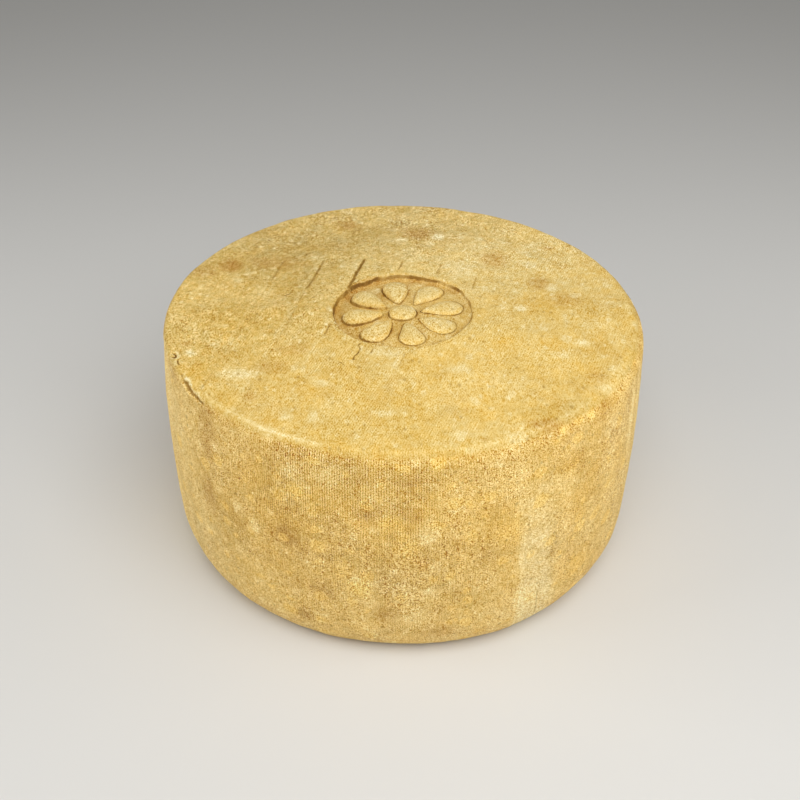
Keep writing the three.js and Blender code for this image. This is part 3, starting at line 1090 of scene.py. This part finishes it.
def ragged(graph, share, torn):
    """A soft patch's share with its strength and its edge torn by noise: share * (1 + 2 * (noise - 0.5))."""
    return graph.math("MULTIPLY", share, graph.math("MULTIPLY", torn, 2.0), clamp=True)


def rind_material(rind, cloth):
    """The rind: gold that turns lighter and paler at every size, with bloom, stains, grain, cloth print and
    lines, and the painted light and shade that its looks carry."""
    material = bpy.data.materials.new("rind")
    material.use_nodes = True
    material.node_tree.nodes.clear()
    graph = Graph(material)
    side, bloom, stain, gold, tone, pale, weave, coarse, wisps, band, edge, line, ink = map(graph.look, LOOKS)
    print_height, fibre = cloth_print(graph, cloth)

    broad = graph.noise(20 * MM, octaves=4, keep=1.0)
    clouds = graph.noise(20 * MM, octaves=4, keep=1.0, seed=31)
    torn = graph.noise(4.5 * MM, octaves=2, keep=0.7, seed=23)
    frayed = graph.noise(2.6 * MM, octaves=3, keep=0.8, seed=67)
    spots = colonies(graph, 12 * MM, 0.36, torn, 61)
    golds = colonies(graph, 10 * MM, 0.55, torn, 47)
    flecks = colonies(graph, 5.5 * MM, 0.36, frayed, 29)
    browns = graph.noise(24 * MM, octaves=4, keep=0.8, low=0.53, high=0.68, seed=11)
    grain = graph.noise(1.7 * MM, seed=41)
    fine = graph.node("VectorMath", {0: graph.object, 1: (1.0, 0.6, 1.0)}, operation="MULTIPLY")
    fine = graph.noise(0.58 * MM, vector=fine, seed=17)
    specks = colonies(graph, 4.6 * MM, 0.26, torn, 53)

    colour = graph.blend(side, on_screen(rind.gold), on_screen(rind.side))
    on_band = graph.math("ADD", edge, graph.ramp(torn, 0.0, 1.0, -1.5, 1.5))
    on_band = graph.math("MULTIPLY", graph.ramp(on_band, -0.5, 0.5), band)
    tone = graph.math("MULTIPLY_ADD", on_band, 0.3, tone)
    pale = graph.math("MULTIPLY_ADD", on_band, 2.2, pale)
    colour = graph.push(colour, tone, TONE_STEP, LIGHTER, middle=0.0)
    colour = graph.push(colour, broad, graph.ramp(side, 0.0, 1.0, 0.2, 0.22), LIGHTER)
    colour = graph.push(colour, pale, PALE_STEP, PALER, middle=0.0)
    colour = graph.push(colour, clouds, graph.ramp(side, 0.0, 1.0, 0.32, 0.2), PALER)
    brown = graph.math("MULTIPLY", browns, graph.ramp(side, 0.0, 1.0, 0.15, 0.26))
    # The brown share holds real stains and the painted shade of the stamp's hollow, the slat grooves and the
    # chip's channel.
    brown = graph.math("MAXIMUM", brown, ragged(graph, stain, torn))
    colour = graph.blend(brown, colour, on_screen(rind.brown))
    yellow = graph.math("MULTIPLY", golds, graph.math("MULTIPLY", side, 0.6))
    yellow = graph.math("MAXIMUM", yellow, ragged(graph, gold, torn))
    colour = graph.blend(yellow, colour, on_screen(rind.yellow))
    cream = graph.math("MAXIMUM", graph.math("MULTIPLY", spots, 0.5), graph.math("MULTIPLY", flecks, 0.5))
    # The pale share holds bloom, the painted sheen at the side's edges and the painted highlight on the
    # crease's lip.
    cream = graph.math("MAXIMUM", cream, ragged(graph, bloom, torn))
    palest = graph.blend(side, on_screen(rind.cream), on_screen(rind.curd))
    colour = graph.blend(cream, colour, palest)

    grit = graph.math("MULTIPLY_ADD", grain, 0.14, fine)
    colour = graph.push(colour, grit, graph.math("MULTIPLY", coarse, 0.52), GRAINY, middle=0.57)
    dark_grit = graph.math("MINIMUM", grit, 0.57)
    colour = graph.push(colour, dark_grit, graph.math("MULTIPLY", coarse, 1.2), GRAINY, middle=0.516)
    colour = graph.push(colour, frayed, graph.math("MULTIPLY", wisps, 0.34), WISPY)
    colour = graph.push(colour, fibre, 0.11, GRAINY)
    printed = graph.math("MULTIPLY", print_height, weave)
    printed = graph.math("MULTIPLY", printed, graph.ramp(frayed, 0.3, 0.7, 0.15, 1.85))
    printed = graph.math("MAXIMUM", printed, -1.0)
    colour = graph.push(colour, printed, 0.235, PRINTED, middle=-0.04)
    dirty = graph.math("MULTIPLY", specks, graph.ramp(side, 0.0, 1.0, 0.28, 0.3))
    colour = graph.blend(dirty, colour, on_screen(rind.dirt_and_shade))
    # The drawn dark lines: those of the cracks, and the painted shade in the slat grooves, the chip's
    # channel, the crease and round the stamp's hollow.
    width = graph.math("MULTIPLY_ADD", torn, 1.4, graph.math("MULTIPLY", grain, 0.8))
    drawn = graph.math("SUBTRACT", width, graph.math("ABSOLUTE", line))
    drawn = graph.math("MULTIPLY", graph.ramp(drawn, -0.35, 0.35), ink)
    drawn = graph.math("MULTIPLY", drawn, graph.ramp(frayed, 0.3, 0.7, 1.25, 0.75), clamp=True)
    colour = graph.blend(drawn, colour, on_screen(rind.dirt_and_shade))
    colour = graph.node("VectorMath", {0: colour, 1: (1.0, 1.0, 1.0)}, operation="MINIMUM")
    colour = graph.node("VectorMath", {0: colour, 1: (0.0, 0.0, 0.0)}, operation="MAXIMUM")
    colour = graph.node("Gamma", {"Color": colour, "Gamma": SCREEN_GAMMA})

    relief = graph.math("MULTIPLY_ADD", printed, 0.8, grain)
    relief = graph.math("MULTIPLY_ADD", fine, 0.6, relief)
    relief = graph.math("MULTIPLY_ADD", fibre, 0.6, relief)
    relief = graph.math("MULTIPLY_ADD", drawn, -1.5, relief)
    inputs = {
        "Base Color": colour,
        "Roughness": graph.ramp(clouds, 0.3, 0.7, 0.62, 0.78),
        "Normal": graph.node("Bump", {"Strength": 1.0, "Distance": 0.08 * MM, "Height": relief}),
        "Specular IOR Level": 0.35,
    }
    graph.node("OutputMaterial", {"Surface": graph.node("BsdfPrincipled", inputs)})
    return material


def plain_material(name, colour):
    """A matt, evenly coloured paper."""
    material = bpy.data.materials.new(name)
    material.use_nodes = True
    shader = material.node_tree.nodes["Principled BSDF"]
    shader.inputs["Base Color"].default_value = opaque(colour)
    shader.inputs["Roughness"].default_value = 0.9
    return material


# ---------------------------------------------------------------- settings


def tint(red, green, blue):
    """A screen colour, 0 to 255, as the linear colour that shaders use."""
    values = np.array([red, green, blue]) / 255
    return tuple(np.where(values > 0.04045, ((values + 0.055) / 1.055) ** 2.4, values / 12.92).tolist())


class CheeseWheelSizes(bpy.types.PropertyGroup):
    """The wheel's overall form."""

    radius: FloatProperty(name="Radius", description="At the widest ring", default=160 * MM, unit="LENGTH")
    height: FloatProperty(
        name="Height",
        description="From base to top",
        default=CAD_HIGH.z - CAD_LOW.z,
        unit="LENGTH",
    )
    widest_height: FloatProperty(
        name="Widest At",
        description="Height of the widest ring",
        default=76 * MM,
        unit="LENGTH",
    )
    barrel: FloatProperty(
        name="Barrel",
        description="How much the side draws in",
        default=14.8 * MM,
        unit="LENGTH",
    )
    foot_inset: FloatProperty(
        name="Foot Inset",
        description="Width of the foot's rounding",
        default=15 * MM,
        unit="LENGTH",
    )
    foot_rise: FloatProperty(
        name="Foot Rise",
        description="Height of the foot's rounding",
        default=29 * MM,
        unit="LENGTH",
    )
    shoulder_inset: FloatProperty(
        name="Shoulder Inset",
        description="Width of the top edge's rounding",
        default=5.5 * MM,
        unit="LENGTH",
    )
    shoulder_drop: FloatProperty(
        name="Shoulder Drop",
        description="Height of the top edge's rounding",
        default=8.8 * MM,
        unit="LENGTH",
    )
    pits: IntProperty(name="Pits", description="Small pits scattered over the rind", default=90, min=0)


class CheeseStampSizes(bpy.types.PropertyGroup):
    """The stamp pressed into the top."""

    radius: FloatProperty(name="Radius", description="Of the round hollow", default=47 * MM, unit="LENGTH")
    depth: FloatProperty(name="Depth", description="Of the hollow's floor", default=4 * MM, unit="LENGTH")
    petals: IntProperty(name="Petals", description="Round the boss", default=8, min=3)


class CheeseClothSizes(bpy.types.PropertyGroup):
    """The ripening cloth whose threads are printed in the rind."""

    warps_round: IntProperty(
        name="Ribs Round",
        description="Upright ribs round the whole side",
        default=662,
        min=1,
    )
    warp: FloatProperty(
        name="Rib Pitch",
        description="Between ribs on the top",
        default=1.55 * MM,
        unit="LENGTH",
        precision=5,
    )
    weft: FloatProperty(
        name="Bead Pitch",
        description="Between beads along a rib",
        default=1.95 * MM,
        unit="LENGTH",
        precision=5,
    )
    top_lean: FloatProperty(name="Top Lean", description="Degrees between the top's ribs and X", default=69.5)


class CheeseRindColours(bpy.types.PropertyGroup):
    """The rind's colours."""

    gold: FloatVectorProperty(
        name="Gold",
        description="Colour of the top",
        subtype="COLOR",
        default=tint(215, 182, 101),
    )
    side: FloatVectorProperty(
        name="Side",
        description="Colour of the side",
        subtype="COLOR",
        default=tint(219, 181, 95),
    )
    cream: FloatVectorProperty(
        name="Cream",
        description="Bloom on the top",
        subtype="COLOR",
        default=tint(233, 216, 163),
    )
    # Also the painted sheen at the side's left and right edges and the painted highlight on the crease's lip.
    curd: FloatVectorProperty(
        name="Curd",
        description="Bloom and worn ridges on the side",
        subtype="COLOR",
        default=tint(246, 216, 142),
    )
    yellow: FloatVectorProperty(
        name="Yellow",
        description="Small bright patches",
        subtype="COLOR",
        default=tint(241, 199, 98),
    )
    # Also the painted shade in the stamp's hollow, the slat grooves and the chip's channel.
    brown: FloatVectorProperty(
        name="Brown",
        description="Soft stains",
        subtype="COLOR",
        default=tint(181, 136, 54),
    )
    # For dark specks and cracks, and also the painted shade drawn in the slat grooves, the chip's channel,
    # the crease and the stamp's hollow.
    dirt_and_shade: FloatVectorProperty(
        name="Dirt",
        description="In cracks and grooves",
        subtype="COLOR",
        default=tint(116, 78, 8),
    )


class CheeseStudio(bpy.types.PropertyGroup):
    """The stage's camera, floor and lamps."""

    lens: FloatProperty(name="Lens", description="Focal length in millimetres", default=50.0)
    elevation: FloatProperty(name="Elevation", description="Degrees that the camera looks down", default=36.1)
    distance: FloatProperty(
        name="Distance",
        description="From the camera to its aim",
        default=776.7 * MM,
        unit="LENGTH",
    )
    aim: FloatVectorProperty(
        name="Aim",
        description="What the camera looks at",
        subtype="TRANSLATION",
        default=(-1.94 * MM, 0, 86.45 * MM),
    )
    floor: FloatVectorProperty(
        name="Floor",
        description="Colour of the floor",
        subtype="COLOR",
        default=tint(208, 207, 204),
    )
    daylight: FloatProperty(name="Daylight", description="Strength of the light from all round", default=0.43)
    key: FloatProperty(
        name="Key Lamp",
        description="Power of the large soft lamp in front",
        default=12.3,
        unit="POWER",
    )
    fill_left: FloatProperty(
        name="Left Lamp",
        description="Power of the soft lamp at the left",
        default=4.0,
        unit="POWER",
    )
    fill_right: FloatProperty(
        name="Right Lamp",
        description="Power of the soft lamp at the right",
        default=2.6,
        unit="POWER",
    )


# ---------------------------------------------------------------- operators


class CHEESE_OT_wheel(bpy.types.Operator):
    """Add the wheel: one closed surface with its stamp, marks and rind"""

    bl_idname = "mesh.cheese_wheel_add"
    bl_label = "Add Cheese Wheel"

    def execute(self, context):
        scene = context.scene
        skin = Skin(scene.cheese_wheel, scene.cheese_stamp)
        press_unevenness(skin)
        press_foot(skin)
        band = press_side(skin)
        press_rim(skin)
        press_stamp(skin, scene.cheese_stamp)
        press_scores(skin)
        press_cracks(skin)
        press_chips(skin)
        press_pits(skin, scene.cheese_wheel.pits)
        spread_patches(skin)
        lay_cloth(skin, band)
        wheel = bpy.data.objects.new("cheese_wheel", make_mesh("cheese_wheel", skin, scene.cheese_cloth))
        scene.collection.objects.link(wheel)
        wheel.data.materials.append(rind_material(scene.cheese_rind, scene.cheese_cloth))
        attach(wheel, "root")
        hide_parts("wheel")
        return {"FINISHED"}


class CHEESE_OT_stage(bpy.types.Operator):
    """Add the plain floor, the soft lamps and the camera"""

    bl_idname = "scene.cheese_stage_add"
    bl_label = "Add Stage"

    def execute(self, context):
        scene = context.scene
        studio = scene.cheese_studio
        reach = FLOOR_REACH * scene.cheese_wheel.radius
        corners = [(-reach, -reach, 0), (reach, -reach, 0), (reach, reach, 0), (-reach, reach, 0)]
        mesh = bpy.data.meshes.new("floor")
        mesh.from_pydata(corners, [], [(0, 1, 2, 3)])
        floor = bpy.data.objects.new("floor", mesh)
        floor.data.materials.append(plain_material("paper", studio.floor))
        scene.collection.objects.link(floor)
        self.add_daylight(scene, studio)
        for lamp in LAMPS:
            self.add_lamp(scene, lamp, getattr(studio, lamp.name))
        self.add_camera(scene, studio)
        scene.view_settings.view_transform = "Standard"
        return {"FINISHED"}

    def add_daylight(self, scene, studio):
        """Even light from all round."""
        scene.world = bpy.data.worlds.new("daylight")
        scene.world.use_nodes = True
        sky = scene.world.node_tree.nodes["Background"]
        sky.inputs["Color"].default_value = opaque(studio.floor)
        sky.inputs["Strength"].default_value = studio.daylight

    def add_lamp(self, scene, lamp, power):
        """A square soft lamp that faces the wheel's middle."""
        area = bpy.data.lights.new(lamp.name, "AREA")
        area.energy = power
        area.size = lamp.size
        light = bpy.data.objects.new(lamp.name, area)
        scene.collection.objects.link(light)
        light.location = lamp.place
        aim = np.array(LAMP_AIM) - np.array(lamp.place)
        light.rotation_mode = "QUATERNION"
        light.rotation_quaternion = Vector(aim.tolist()).to_track_quat("-Z", "Y")

    def add_camera(self, scene, studio):
        """A camera in front of the wheel that looks down on it."""
        lens = bpy.data.cameras.new("camera")
        lens.lens = studio.lens
        camera = bpy.data.objects.new("camera", lens)
        scene.collection.objects.link(camera)
        down = radians(studio.elevation)
        back = Vector((0, -cos(down), sin(down)))
        camera.location = Vector(studio.aim) + back * studio.distance
        camera.rotation_euler = (pi / 2 - down, 0, 0)
        scene.camera = camera


class CHEESE_PT_panel(bpy.types.Panel):
    """The cheese wheel's sizes, colours and buttons"""

    bl_idname = "CHEESE_PT_panel"
    bl_label = "Cheese Wheel"
    bl_space_type = "VIEW_3D"
    bl_region_type = "UI"
    bl_category = "Cheese"

    def draw(self, context):
        for title, setting, operator in PARTS:
            box = self.layout.box()
            box.label(text=title)
            group = getattr(context.scene, setting)
            for name in group.__annotations__:
                box.prop(group, name)
            if operator:
                box.operator(operator)


PARTS = (
    ("Wheel", "cheese_wheel", None),
    ("Stamp", "cheese_stamp", None),
    ("Cloth", "cheese_cloth", None),
    ("Rind", "cheese_rind", CHEESE_OT_wheel.bl_idname),
    ("Stage", "cheese_studio", CHEESE_OT_stage.bl_idname),
)
GROUPS = {
    "cheese_wheel": CheeseWheelSizes,
    "cheese_stamp": CheeseStampSizes,
    "cheese_cloth": CheeseClothSizes,
    "cheese_rind": CheeseRindColours,
    "cheese_studio": CheeseStudio,
}
CLASSES = (*GROUPS.values(), CHEESE_OT_wheel, CHEESE_OT_stage, CHEESE_PT_panel)


def register():
    for cls in CLASSES:
        bpy.utils.register_class(cls)
    for name, group in GROUPS.items():
        setattr(bpy.types.Scene, name, PointerProperty(type=group))


def unregister():
    for name in GROUPS:
        delattr(bpy.types.Scene, name)
    for cls in reversed(CLASSES):
        bpy.utils.unregister_class(cls)


def main():
    register()
    bpy.ops.scene.cheese_stage_add()
    bpy.ops.mesh.cheese_wheel_add()
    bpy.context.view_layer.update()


if __name__ == "__main__":
    main()
